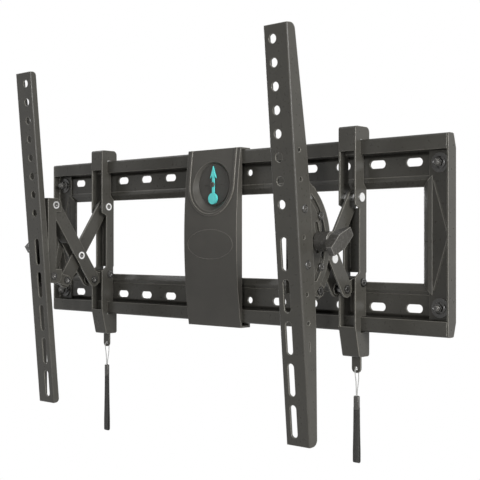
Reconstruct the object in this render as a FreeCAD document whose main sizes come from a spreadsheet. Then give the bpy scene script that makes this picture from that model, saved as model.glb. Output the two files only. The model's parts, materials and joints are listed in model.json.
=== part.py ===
"""A tilting, extending wall mount for a television, as a parametric document.

X runs along the wall, Y into the wall and Z up.  The origin is the centre of the wall plate on the
wall itself, so a point that stands `forward` of the wall has y = -forward.  Sizes are millimetres.
"""
import FreeCAD, Part
import math
import os

import Sketcher
from FreeCAD import Placement, Rotation, Vector

SIZES = {
    # wall plate
    "plate_width": 660.0,
    "plate_height": 212.8,
    "rail_depth": 17.0,
    "rail_sheet": 2.0,
    "bend_radius": 1.0,
    "lip_height": 16.6,
    "lip_flat": 11.0,
    "web_standoff": 3.0,
    "foot_drop": 15.4,
    "foot_height": 3.0,
    "foot_flat": 3.0,
    "rail_height": 54.2,
    "rim_height": 7.6,
    "slot_drop": 27.9,
    "slot_end_margin": 48.0,
    "slot_count": 5,
    "slot_length": 20.5,
    "slot_width": 9.0,
    "wall_hole_radius": 4.0,
    "end_face_width": 28.5,
    "end_rim_width": 7.8,
    "end_rim_drop": 3.0,
    "end_gap": 0.4,
    "cap_back": 1.2,
    "chevron_height": 115.6,
    "chevron_inset": 4.8,
    "chevron_reach": 17.4,
    "chevron_width": 1.6,
    "chevron_depth": 0.7,
    "corner_inset": 15.0,
    "corner_drop": 30.0,
    "corner_bolt_radius": 3.0,
    "corner_head_radius": 6.0,
    "corner_head_height": 2.2,
    "corner_bolt_reach": 18.0,
    "corner_washer_radius": 10.4,
    "corner_washer_sheet": 1.5,
    "corner_nut_flats": 9.0,
    "corner_flange_radius": 6.5,
    "corner_flange_sheet": 1.3,
    "corner_nut_height": 5.0,
    # centre cover and level
    "cover_width": 90.0,
    "cover_edge_depth": 20.0,
    "cover_bow": 8.0,
    "cover_wall": 2.4,
    "cover_gap": 0.5,
    "cover_low_gap": 3.4,
    "cover_hook_drop": 4.0,
    "gauge_drop": 41.4,
    "gauge_radius": 34.0,
    "gauge_floor_radius": 26.0,
    "gauge_wall": 2.0,
    "gauge_floor": 1.6,
    "ridge_gap": 0.5,
    "ridge_width": 2.8,
    "ridge_rise": 1.2,
    "dial_sheet": 0.8,
    "dial_margin": 0.4,
    "needle_sheet": 1.6,
    "needle_gap": 0.4,
    "needle_tip": 23.0,
    "needle_head_width": 10.0,
    "needle_barb": 3.0,
    "needle_head_length": 12.0,
    "needle_bar_width": 3.5,
    "needle_weight_radius": 7.0,
    "needle_weight_drop": 17.6,
    "needle_weight_sheet": 3.0,
    "needle_pin_radius": 1.5,
    "needle_pin_head": 3.2,
    # the two hanging units
    "left_unit_place": -219.0,
    "right_unit_place": 209.2,
    "hook_sheet": 2.0,
    "hook_front": 27.0,
    "hook_above": 14.6,
    "hook_below": 28.1,
    "hook_tail": 0.5,
    "hook_tail_drop": 8.4,
    "hook_gap": 0.4,
    "hook_web_back": 11.0,
    "hook_window_back": 6.0,
    "hook_low_back": 7.0,
    "hook_shoulder": 1.0,
    "hook_slant": 7.5,
    "top_cap_height": 27.5,
    "bottom_cap_height": 33.9,
    "notch_front": 19.0,
    "notch_top": 31.0,
    "notch_bottom": -41.0,
    "notch_ramp": 6.0,
    "hook_round": 3.0,
    "hook_back_round": 6.0,
    # scissor
    "rear_pivot": 16.0,
    "scissor_width": 90.0,
    "top_pivot": 42.5,
    "scissor_drop": 67.5,
    "tail_share": 0.5,
    "rocker_inset": -3.5,
    "rocker_height": -52.0,
    "rear_link_sheet": 3.0,
    "rear_link_round": 9.5,
    "front_link_gap": 1.1,
    "front_link_sheet": 2.0,
    "front_link_round": 9.0,
    "front_link_web": 26.0,
    "rocker_gap": 0.4,
    "rocker_sheet": 1.8,
    "rocker_round": 7.0,
    "rocker_web": 5.0,
    "rocker_play": 1.6,
    "rivet_radius": 3.6,
    "rivet_head_radius": 5.0,
    "rivet_head_height": 1.4,
    "rivet_dimple_radius": 3.2,
    "rivet_dimple_depth": 0.7,
    "slim_head_height": 0.8,
    "collar_radius": 5.2,
    "running_gap": 0.05,
    "side_gap": 0.2,
    # carriage and tilt
    "carriage_gap": 0.6,
    "carriage_sheet": 2.0,
    "carriage_front": 13.0,
    "carriage_lobe": 9.0,
    "carriage_back": 18.0,
    "carriage_bay": 36.0,
    "carriage_round": 8.0,
    "tilt_axis_forward": 146.0,
    "tilt_axis_height": -6.5,
    "tilt_rest": 5.0,
    "guide_radius": 58.5,
    "guide_angle": 27.0,
    "guide_slot_angle": 46.0,
    "knob_radius_place": 49.0,
    "knob_slot_angle": 16.0,
    "stud_radius": 3.0,
    "stud_gap": 0.3,
    "stud_head_radius": 4.2,
    "stud_head_height": 2.0,
    "sector_radius": 69.5,
    "sector_sheet": 1.9,
    "arm_width": 31.6,
    "arm_sheet": 1.8,
    "arm_length": 435.0,
    "arm_middle": 2.3,
    "arm_setback": 14.0,
    "arm_end_depth": 12.0,
    "arm_waist_depth": 21.0,
    "arm_waist": 95.0,
    "arm_belly_depth": 23.0,
    "arm_belly": 45.0,
    "arm_inner_depth": 9.0,
    "arm_end_round": 7.0,
    "arm_inner_round": 5.0,
    "tv_hole_radius": 4.8,
    "tv_hole_pitch": 24.1,
    "tv_hole_count": 8,
    "tv_hole_margin": 14.5,
    "tv_hole_shift": 4.1,
    "tv_slot_land": 9.2,
    "tv_slot_width": 8.4,
    "tv_slot_clear": 51.0,
    "tv_slot_count": 5,
    "tv_slot_margin": 25.6,
    "side_hole_radius": 2.3,
    "side_hole_depth": 8.5,
    "side_hole_near": 59.0,
    "side_hole_far": 89.0,
    "side_slit_drop": 109.0,
    "side_slit_length": 8.4,
    "side_slit_width": 1.4,
    "screw_place": 29.0,
    "screw_depth": 12.5,
    "screw_radius": 2.0,
    "screw_head_radius": 4.6,
    "screw_head_height": 1.6,
    # clamping knob
    "knob_boss_radius": 10.5,
    "knob_boss_length": 16.5,
    "knob_washer_radius": 8.0,
    "knob_washer_sheet": 1.2,
    "knob_stud_reach": 8.0,
    "wing_length": 39.0,
    "wing_height": 17.0,
    "wing_tip_height": 10.0,
    "wing_sheet": 13.0,
    "wing_tip_sheet": 6.5,
    "wing_angle": 33.0,
    # latch and its pull
    "latch_width": 12.0,
    "latch_sheet": 2.0,
    "latch_forward": 7.5,
    "latch_tooth_rise": 7.6,
    "latch_tooth_sheet": 1.6,
    "latch_tooth_forward": 0.6,
    "latch_step_drop": 6.4,
    "latch_lug_reach": 9.5,
    "latch_tab_drop": 19.0,
    "latch_tab_round": 5.4,
    "latch_hole_radius": 2.0,
    "latch_hole_rise": 5.0,
    "latch_guide_gap": 0.4,
    "seat_back": 5.0,
    "spring_radius": 2.1,
    "spring_wire": 0.4,
    "spring_turns": 6,
    "spring_gap": 0.1,
    "string_radius": 0.55,
    "string_drop": 25.5,
    "ferrule_width": 7.0,
    "ferrule_depth": 4.0,
    "ferrule_height": 16.0,
    "strap_width": 8.0,
    "strap_sheet": 1.3,
    "strap_bend": 1.0,
    "left_strap_drop": 77.0,
    "right_strap_drop": 59.0,
}

SPRING_POINTS_PER_TURN = 10

doc = FreeCAD.newDocument("tv_mount")
sheet = doc.addObject("Spreadsheet::Sheet", "Sizes")
for row, (alias, number) in enumerate(SIZES.items(), start=1):
    sheet.set(f"A{row}", alias)
    sheet.set(f"B{row}", str(number))
    sheet.setAlias(f"B{row}", alias)
doc.recompute()

nodes = []


class Size:
    """A number together with the sheet expression that it comes from."""

    def __init__(self, value, text):
        self.value = value
        self.text = text

    def __add__(self, other):
        other = as_size(other)
        return Size(self.value + other.value, f"({self.text} + {other.text})")

    def __sub__(self, other):
        other = as_size(other)
        return Size(self.value - other.value, f"({self.text} - {other.text})")

    def __mul__(self, other):
        other = as_size(other)
        return Size(self.value * other.value, f"({self.text} * {other.text})")

    def __truediv__(self, other):
        other = as_size(other)
        return Size(self.value / other.value, f"({self.text} / {other.text})")

    def __radd__(self, other):
        return as_size(other) + self

    def __rsub__(self, other):
        return as_size(other) - self

    def __rmul__(self, other):
        return as_size(other) * self

    def __neg__(self):
        return as_size(-1) * self


def as_size(number):
    return number if isinstance(number, Size) else Size(number, f"({number})")


def sine(angle):
    return Size(math.sin(math.radians(angle.value)), f"sin({angle.text} * 1 deg)")


def cosine(angle):
    return Size(math.cos(math.radians(angle.value)), f"cos({angle.text} * 1 deg)")


def root(number):
    return Size(math.sqrt(number.value), f"sqrt({number.text})")


class Sheet:
    """The sheet's aliases as attributes."""


S = Sheet()
for alias, number in SIZES.items():
    setattr(S, alias, Size(sheet.get(alias), f"Sizes.{alias}"))


def bind(thing, prop, size):
    thing.setExpression(prop, as_size(size).text)


# Sketches

def body(label):
    return doc.addObject("PartDesign::Body", label)


def sketch_on(part, plane, offset=0):
    """A sketch on one of the body's own origin planes, lifted along that plane's normal."""
    sketch = part.newObject("Sketcher::SketchObject", f"{part.Name}_sketch")
    origin = next(item for item in part.Origin.OriginFeatures if item.Role == plane)
    sketch.AttachmentSupport = [(origin, "")]
    sketch.MapMode = "FlatFace"
    bind(sketch, "AttachmentOffset.Base.z", offset)
    return sketch


def constrain(sketch, kind, *where, size):
    """Adds a dimension whose value follows the sheet."""
    index = sketch.addConstraint(Sketcher.Constraint(kind, *where, size.value))
    sketch.setExpression(f"Constraints[{index}]", size.text)


def fix_point(sketch, geometry, end, across, up):
    for kind, size, axis in (("DistanceX", across, -2), ("DistanceY", up, -1)):
        if isinstance(size, Size):
            constrain(sketch, kind, -1, 1, geometry, end, size=size)
        else:
            sketch.addConstraint(Sketcher.Constraint("PointOnObject", geometry, end, axis))


def vector(across, up):
    return Vector(as_size(across).value, as_size(up).value, 0)


def polygon(sketch, corners):
    """A closed outline of straight lines through corners given as (across, up)."""
    first = sketch.GeometryCount
    count = len(corners)
    for index, corner in enumerate(corners):
        following = corners[(index + 1) % count]
        sketch.addGeometry(Part.LineSegment(vector(*corner), vector(*following)), False)
    for index, corner in enumerate(corners):
        here = first + index
        before = first + (index - 1) % count
        sketch.addConstraint(Sketcher.Constraint("Coincident", before, 2, here, 1))
        fix_point(sketch, here, 1, *corner)


def folded(path, thick):
    """The outline of a bent sheet, from a path along one face; the sheet lies on the path's right."""
    normals = []
    for start, end in zip(path, path[1:]):
        run, rise = end[0] - as_size(start[0]), end[1] - as_size(start[1])
        length = root(run * run + rise * rise)
        normals.append((rise / length, -run / length))
    other_face = []
    for index, (across, up) in enumerate(path):
        before = normals[max(index - 1, 0)]
        after = normals[min(index, len(normals) - 1)]
        reach = thick / (before[0] * after[0] + before[1] * after[1] + 1)
        lean_across, lean_up = before[0] + after[0], before[1] + after[1]
        other_face.append((across + reach * lean_across, up + reach * lean_up))
    return path + other_face[::-1]


def bend_corners(section):
    """Sorts the corners of a folded outline into the inside and the outside of its bends."""
    inside, outside = [], []
    for index in range(1, len(section) // 2 - 1):
        before, here, after = (vector(*section[index + step]) for step in (-1, 0, 1))
        face, other_face = section[index], section[-1 - index]
        if (here - before).cross(after - here).z < 0:
            face, other_face = other_face, face
        inside.append(face)
        outside.append(other_face)
    return inside, outside


def circle(sketch, across, up, radius):
    index = sketch.addGeometry(Part.Circle(vector(across, up), Vector(0, 0, 1), radius.value), False)
    fix_point(sketch, index, 3, across, up)
    constrain(sketch, "Radius", index, size=radius)


def slot(sketch, start, end, radius):
    """A round-ended outline about the line between two centres."""
    near, far = vector(*start), vector(*end)
    heading = math.atan2(far.y - near.y, far.x - near.x)
    quarter = math.pi / 2
    up = Vector(0, 0, 1)
    first = sketch.GeometryCount
    caps = ((near, heading + quarter), (far, heading - quarter))
    arcs = [
        Part.ArcOfCircle(Part.Circle(centre, up, radius.value), turn, turn + math.pi)
        for centre, turn in caps
    ]
    for arc in arcs:
        sketch.addGeometry(arc, False)
    sketch.addGeometry(Part.LineSegment(arcs[0].EndPoint, arcs[1].StartPoint), False)
    sketch.addGeometry(Part.LineSegment(arcs[1].EndPoint, arcs[0].StartPoint), False)
    near_arc, far_arc, low_line, high_line = range(first, first + 4)
    joints = (
        (near_arc, 2, low_line, 1), (low_line, 2, far_arc, 1),
        (far_arc, 2, high_line, 1), (high_line, 2, near_arc, 1),
    )
    for joint in joints:
        sketch.addConstraint(Sketcher.Constraint("Tangent", *joint))
    fix_point(sketch, near_arc, 3, *start)
    fix_point(sketch, far_arc, 3, *end)
    constrain(sketch, "Radius", near_arc, size=radius)


# Features

def pad(part, sketch, length, both_ways=False):
    feature = part.newObject("PartDesign::Pad", f"{part.Name}_pad")
    feature.Profile = sketch
    feature.Midplane = both_ways
    bind(feature, "Length", length)
    return feature


def pocket(part, sketch, length, both_ways=False, reverse=False):
    feature = part.newObject("PartDesign::Pocket", f"{part.Name}_pocket")
    feature.Profile = sketch
    feature.Midplane = both_ways
    feature.Reversed = reverse
    bind(feature, "Length", length)
    return feature


def round_edges(part, corners, axis, radius):
    """Rounds the edges along one axis (0, 1 or 2) that pass through the given corners."""
    doc.recompute()
    flat = [index for index in range(3) if index != axis]
    places = [tuple(as_size(size).value for size in corner) for corner in corners]
    names = []
    for number, edge in enumerate(part.Shape.Edges, start=1):
        ends = [vertex.Point for vertex in edge.Vertexes]
        for place in places:
            if all(math.dist([end[i] for i in flat], place) < 1e-4 for end in ends):
                names.append(f"Edge{number}")
                break
    base = part.Tip
    fillet = part.newObject("PartDesign::Fillet", f"{part.Name}_round")
    fillet.Base = (base, names)
    bind(fillet, "Radius", radius)


def turned(label, steps, bore=None):
    """A turned piece about the X axis: steps are (from, to, radius), with an optional bore."""
    part = body(label)
    sketch = sketch_on(part, "XY_Plane")
    floor = bore if bore is not None else 0
    corners = [(steps[0][0], floor)]
    for start, end, radius in steps:
        corners += [(start, radius), (end, radius)]
    corners.append((steps[-1][1], floor))
    polygon(sketch, corners)
    feature = part.newObject("PartDesign::Revolution", f"{label}_turn")
    feature.Profile = sketch
    feature.ReferenceAxis = (sketch, ["H_Axis"])
    feature.Angle = 360
    return part


def put(thing, across=0, forward=0, up=0, rotation=None):
    """Places an object, with its position bound to the sheet."""
    if rotation is not None:
        thing.Placement = Placement(Vector(), rotation)
    bind(thing, "Placement.Base.x", across)
    bind(thing, "Placement.Base.y", -as_size(forward))
    bind(thing, "Placement.Base.z", up)
    return thing


def cylinder(label, radius, length, angle=None):
    thing = doc.addObject("Part::Cylinder", label)
    bind(thing, "Radius", radius)
    bind(thing, "Height", length)
    if angle is not None:
        bind(thing, "Angle", angle)
    return thing


def cut(label, base, tool):
    thing = doc.addObject("Part::Cut", label)
    thing.Base = base
    thing.Tool = tool
    return thing


def group(kind, label, members):
    """A Part::MultiFuse, Part::MultiCommon or Part::Compound of the members."""
    thing = doc.addObject(kind, label)
    if kind == "Part::Compound":
        thing.Links = members
    else:
        thing.Shapes = members
    return thing


def node(thing, label):
    thing.Label = label
    nodes.append(thing)
    return thing


def across_span(side, near, far):
    """Start of a stretch along X that runs from near to far on the given side (1 or -1)."""
    return near if side > 0 else -far


ALONG_X = Rotation(Vector(0, 1, 0), 90)
ALONG_FORWARD = Rotation(Vector(1, 0, 0), 90)

# Sizes that several pieces share

plate_top = S.plate_height / 2
lip_end = plate_top - S.lip_height
window_edge = plate_top - S.rail_height
web_front = S.web_standoff + S.rail_sheet
outer_bend = S.bend_radius + S.rail_sheet
ramp_top = S.rail_depth - S.lip_flat
foot_level = plate_top - S.foot_drop
corner_place = S.plate_width / 2 - S.corner_inset
slot_row = plate_top - S.slot_drop
corner_row = plate_top - S.corner_drop
slot_pitch = (S.plate_width / 2 - S.slot_end_margin) / (S.slot_count + 1)
gauge_centre = plate_top - S.gauge_drop

arm_half = S.arm_width / 2
arm_inner = arm_half - S.arm_sheet
sector_inner = arm_inner - S.sector_sheet
carriage_half = sector_inner - S.carriage_gap
carriage_inner = carriage_half - S.carriage_sheet
carriage_width = carriage_half * 2
front_link_half = carriage_inner - S.front_link_gap
front_link_inner = front_link_half - S.front_link_sheet
front_link_width = front_link_half * 2
rocker_half = front_link_inner - S.rocker_gap
rocker_inner = rocker_half - S.rocker_sheet
rocker_width = rocker_half * 2
rear_link_half = S.rear_link_sheet / 2
pivot_hole = S.rivet_radius + S.running_gap

hook_half = carriage_half
hook_width = carriage_width
hook_inner = hook_half - S.hook_sheet
hook_top = plate_top + S.hook_above
hook_bottom = -(plate_top + S.hook_below)
cap_low = hook_top - S.top_cap_height
cap_high = hook_bottom + S.bottom_cap_height

centre_forward = S.rear_pivot + S.scissor_width / 2
front_pivot = S.rear_pivot + S.scissor_width
centre_up = S.top_pivot - S.scissor_drop
tail_across = S.scissor_width / 2 * S.tail_share
tail_down = S.scissor_drop * S.tail_share
tail_up = centre_up - tail_down
rear_tail = centre_forward - tail_across
front_tail = centre_forward + tail_across
rear_rocker_pivot = S.rear_pivot + S.rocker_inset
front_rocker_pivot = front_pivot - S.rocker_inset


# Wall plate

def rail(label, way):
    """One folded rail; way is 1 for the upper rail and -1 for the lower one."""
    part = body(label)
    foot_low = foot_level - S.foot_flat
    section = folded([
        (0, window_edge), (S.web_standoff, window_edge + S.rim_height),
        (S.web_standoff, foot_low - S.foot_height), (0, foot_low), (0, foot_level),
        (ramp_top, plate_top), (S.rail_depth, plate_top), (S.rail_depth, lip_end),
    ], S.rail_sheet)
    outline = sketch_on(part, "YZ_Plane")
    polygon(outline, [(-forward, up * way) for forward, up in section])
    pad(part, outline, S.plate_width - S.rail_sheet * 2, both_ways=True)
    for corners, radius in zip(bend_corners(section), (S.bend_radius, outer_bend)):
        round_edges(part, [(-forward, up * way) for forward, up in corners], 0, radius)
    holes = sketch_on(part, "XZ_Plane")
    row = slot_row * way
    reach = (S.slot_length - S.slot_width) / 2
    for turn in (-1, 1):
        for index in range(2, 2 + int(S.slot_count.value)):
            middle = slot_pitch * index * turn
            slot(holes, (middle - reach, row), (middle + reach, row), S.slot_width / 2)
        circle(holes, slot_pitch * turn, row, S.wall_hole_radius)
        circle(holes, corner_place * turn, corner_row * way, S.corner_bolt_radius + S.running_gap)
    pocket(part, holes, S.rail_depth, reverse=True)
    node(part, label)


def end_plate(label, side):
    """A folded end plate that caps the rails' ends, with a shallow chevron pressed into its face."""
    part = body(label)
    front = web_front + S.rail_sheet
    outer = S.plate_width / 2
    inner = outer - S.end_face_width
    rim = inner - S.end_rim_width
    beyond = rim - S.end_rim_width
    section = folded([
        (outer, web_front), (inner, web_front), (rim, web_front - S.end_rim_drop),
    ], S.rail_sheet)
    outline = sketch_on(part, "XY_Plane")
    polygon(outline, [(across * side, -forward) for across, forward in section])
    pad(part, outline, lip_end * 2 - S.end_gap * 2, both_ways=True)
    outside = bend_corners(section)[1]
    round_edges(part, [(across * side, -forward) for across, forward in outside], 2, outer_bend)
    cap = sketch_on(part, "YZ_Plane", across_span(side, outer - S.rail_sheet, outer))
    cap_upper = [(S.cap_back, foot_level), (ramp_top, plate_top), (S.rail_depth, plate_top)]
    cap_lower = [(forward, -up) for forward, up in reversed(cap_upper)]
    polygon(cap, [(-forward, up) for forward, up in cap_upper + cap_lower])
    pad(part, cap, S.rail_sheet)
    cap_corners = cap_upper[1:] + cap_lower[:2]
    round_edges(part, [(-forward, up) for forward, up in cap_corners], 0, outer_bend)
    trims = sketch_on(part, "XZ_Plane")
    for turn in (-1, 1):
        near = (window_edge - S.end_gap) * turn
        mitre = near + S.rim_height * turn
        far = plate_top * turn
        polygon(trims, [
            (beyond * side, near), (rim * side, near), (inner * side, mitre), (inner * side, far),
            (beyond * side, far),
        ])
    pocket(part, trims, S.rail_depth, reverse=True)
    holes = sketch_on(part, "XZ_Plane")
    for turn in (-1, 1):
        circle(holes, corner_place * side, corner_row * turn, S.corner_bolt_radius + S.running_gap)
    pocket(part, holes, S.rail_depth, reverse=True)
    crease = sketch_on(part, "XZ_Plane", front - S.chevron_depth)
    start = inner + S.chevron_inset
    tip = start + S.chevron_reach
    half = S.chevron_height / 2
    chevron = [
        (start, half), (tip, 0), (start, -half),
        (start + S.chevron_width, -half), (tip + S.chevron_width, 0), (start + S.chevron_width, half),
    ]
    polygon(crease, [(across * side, up) for across, up in chevron])
    pocket(part, crease, S.chevron_depth * 2, reverse=True)
    node(part, label)


def corner_fixings():
    """Four bolts with their washers and nuts, each kind as one group."""
    face = web_front + S.rail_sheet
    washer_end = face + S.corner_washer_sheet
    bolts, washers, nuts = [], [], []
    corners = [(across, up) for across in (-1, 1) for up in (-1, 1)]
    for number, (across, up) in enumerate(corners, start=1):
        place = {"across": corner_place * across, "up": corner_row * up, "rotation": ALONG_FORWARD}
        head = cylinder(f"corner_bolt_head_{number}", S.corner_head_radius, S.corner_head_height)
        put(head, forward=S.web_standoff - S.corner_head_height, **place)
        shank = cylinder(f"corner_bolt_shank_{number}", S.corner_bolt_radius,
                         S.corner_bolt_reach - S.web_standoff)
        put(shank, forward=S.web_standoff, **place)
        bolts.append(group("Part::MultiFuse", f"corner_bolt_{number}", [head, shank]))
        disc = cylinder(f"corner_washer_disc_{number}", S.corner_washer_radius, S.corner_washer_sheet)
        put(disc, forward=face, **place)
        flats = doc.addObject("Part::Prism", f"corner_nut_flats_{number}")
        flats.Polygon = 6
        bind(flats, "Circumradius", S.corner_nut_flats / root(as_size(3)))
        bind(flats, "Height", S.corner_nut_height)
        put(flats, forward=washer_end, **place)
        flange = cylinder(f"corner_nut_flange_{number}", S.corner_flange_radius, S.corner_flange_sheet)
        put(flange, forward=washer_end, **place)
        nut = group("Part::MultiFuse", f"corner_nut_block_{number}", [flats, flange])
        for piece, kept, kind in ((disc, washers, "washer"), (nut, nuts, "nut")):
            bore = cylinder(f"corner_{kind}_bore_{number}", S.corner_bolt_radius + S.running_gap,
                            S.corner_bolt_reach)
            put(bore, forward=0, **place)
            kept.append(cut(f"corner_{kind}_{number}", piece, bore))
    for label, members in (("corner_bolts", bolts), ("corner_washers", washers), ("corner_nuts", nuts)):
        node(group("Part::Compound", f"{label}_group", members), label)


# Centre cover with its level

cover_top = plate_top + S.cover_gap + S.cover_wall
cover_back = S.rail_depth + S.cover_gap
gauge_floor_front = cover_back + S.gauge_floor
dial_front = gauge_floor_front + S.dial_sheet
needle_back = dial_front + S.needle_gap


cover_front = S.cover_edge_depth + S.cover_bow
bow_radius = (cover_top * cover_top + S.cover_bow * S.cover_bow) / (S.cover_bow * 2)


def cover_bow(label, swell):
    """The cylinder that rounds off the cover's front, larger by a given amount."""
    thing = cylinder(label, bow_radius + swell, S.cover_width * 2)
    return put(thing, across=-S.cover_width, forward=cover_front - bow_radius, rotation=ALONG_X)


def cover_block(label, swell):
    """The cover's side view as a solid, with its hooks and its bowed front."""
    part = body(f"{label}_side")
    outline = sketch_on(part, "YZ_Plane")
    front = cover_front + S.cover_bow
    hook_foot = plate_top - S.cover_hook_drop
    hook_slip = S.cover_hook_drop * ramp_top / S.foot_drop
    hook_front = ramp_top - S.cover_gap
    hook_back = hook_front - hook_slip - S.cover_wall / 2

    def hooked_end(gap):
        outside = plate_top + gap + S.cover_wall
        return [
            (front, outside), (hook_back, outside), (hook_back, hook_foot),
            (hook_front - hook_slip, hook_foot), (hook_front, plate_top + gap),
            (cover_back, plate_top + gap),
        ]

    lower = [(forward, -up) for forward, up in reversed(hooked_end(S.cover_low_gap))]
    polygon(outline, [(-forward, up) for forward, up in hooked_end(S.cover_gap) + lower])
    pad(part, outline, S.cover_width, both_ways=True)
    return group("Part::MultiCommon", label, [part, cover_bow(f"{label}_bow", swell)])


def centre_cover():
    block = cover_block("cover_block", as_size(0))
    room = doc.addObject("Part::Box", "cover_room")
    bind(room, "Length", S.cover_width - S.cover_wall * 2)
    bind(room, "Width", cover_front - cover_back + S.cover_wall * 2)
    bind(room, "Height", S.plate_height + S.cover_gap + S.cover_low_gap)
    put(room, across=S.cover_wall - S.cover_width / 2, forward=cover_front + S.cover_wall,
        up=-(plate_top + S.cover_low_gap))
    hollow = group("Part::MultiCommon", "cover_hollow", [room, cover_bow("cover_inner_bow", -S.cover_wall)])
    shell = cut("cover_shell", block, hollow)
    ring = S.gauge_radius + S.gauge_wall
    cup = put(cylinder("cover_cup_block", ring, cover_front), forward=cover_back, up=gauge_centre,
              rotation=ALONG_FORWARD)
    core = cover_block("cover_core", -(S.cover_wall / 2))
    cup_wall = group("Part::MultiCommon", "cover_cup", [cup, core])
    ridge = body("cover_ridge_path")
    path = sketch_on(ridge, "XZ_Plane", cover_back)
    for radius in (ring + S.ridge_gap + S.ridge_width, ring + S.ridge_gap):
        slot(path, (0, gauge_centre), (0, gauge_centre + S.plate_height), radius)
    pad(ridge, path, cover_front)
    swollen = cover_block("cover_swollen", S.ridge_rise)
    raised = cut("cover_ridge", group("Part::MultiCommon", "cover_ridge_block", [ridge, swollen]), core)
    solid = group("Part::MultiFuse", "cover_solid", [shell, cup_wall, raised])
    recess = doc.addObject("Part::Cone", "cover_recess")
    bind(recess, "Radius1", S.gauge_floor_radius)
    bind(recess, "Radius2", S.gauge_radius)
    bind(recess, "Height", cover_front - gauge_floor_front)
    put(recess, forward=gauge_floor_front, up=gauge_centre, rotation=ALONG_FORWARD)
    hole = put(cylinder("cover_pin_hole", S.needle_pin_radius + S.running_gap, cover_front), forward=0,
               up=gauge_centre, rotation=ALONG_FORWARD)
    tools = group("Part::MultiFuse", "cover_cuts", [recess, hole])
    node(cut("cover_cut", solid, tools), "centre_cover")


def level_gauge():
    disc = put(cylinder("dial_disc", S.gauge_floor_radius - S.dial_margin, S.dial_sheet),
               forward=gauge_floor_front, up=gauge_centre, rotation=ALONG_FORWARD)
    hole = put(cylinder("dial_hole", S.needle_pin_radius + S.running_gap, S.rail_depth),
               forward=cover_back, up=gauge_centre, rotation=ALONG_FORWARD)
    node(cut("dial_cut", disc, hole), "level_dial")

    needle = body("needle_body")
    outline = sketch_on(needle, "XZ_Plane", needle_back)
    bar = S.needle_bar_width / 2
    head = S.needle_head_width / 2
    neck = S.needle_tip - S.needle_head_length
    polygon(outline, [
        (0, S.needle_tip), (-head, neck - S.needle_barb), (-bar, neck), (-bar, -S.needle_weight_drop),
        (bar, -S.needle_weight_drop), (bar, neck), (head, neck - S.needle_barb),
    ])
    pad(needle, outline, S.needle_sheet)
    weight = sketch_on(needle, "XZ_Plane", needle_back)
    circle(weight, 0, -S.needle_weight_drop, S.needle_weight_radius)
    pad(needle, weight, S.needle_weight_sheet)
    eye = sketch_on(needle, "XZ_Plane", needle_back - S.needle_gap)
    circle(eye, 0, 0, S.needle_pin_radius + S.running_gap)
    pocket(needle, eye, S.needle_weight_sheet * 2, reverse=True)
    put(needle, up=gauge_centre)
    node(needle, "level_needle")

    pin_end = needle_back + S.needle_sheet + S.needle_gap
    pin = turned("needle_pin_body", [
        (cover_back, pin_end, S.needle_pin_radius), (pin_end, pin_end + S.needle_sheet, S.needle_pin_head),
    ])
    put(pin, up=gauge_centre, rotation=Rotation(Vector(0, 0, 1), -90))
    node(pin, "needle_pin")


# Hanging units

def pivot(sketch, forward, up, radius):
    circle(sketch, -forward, up, radius)


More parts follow.
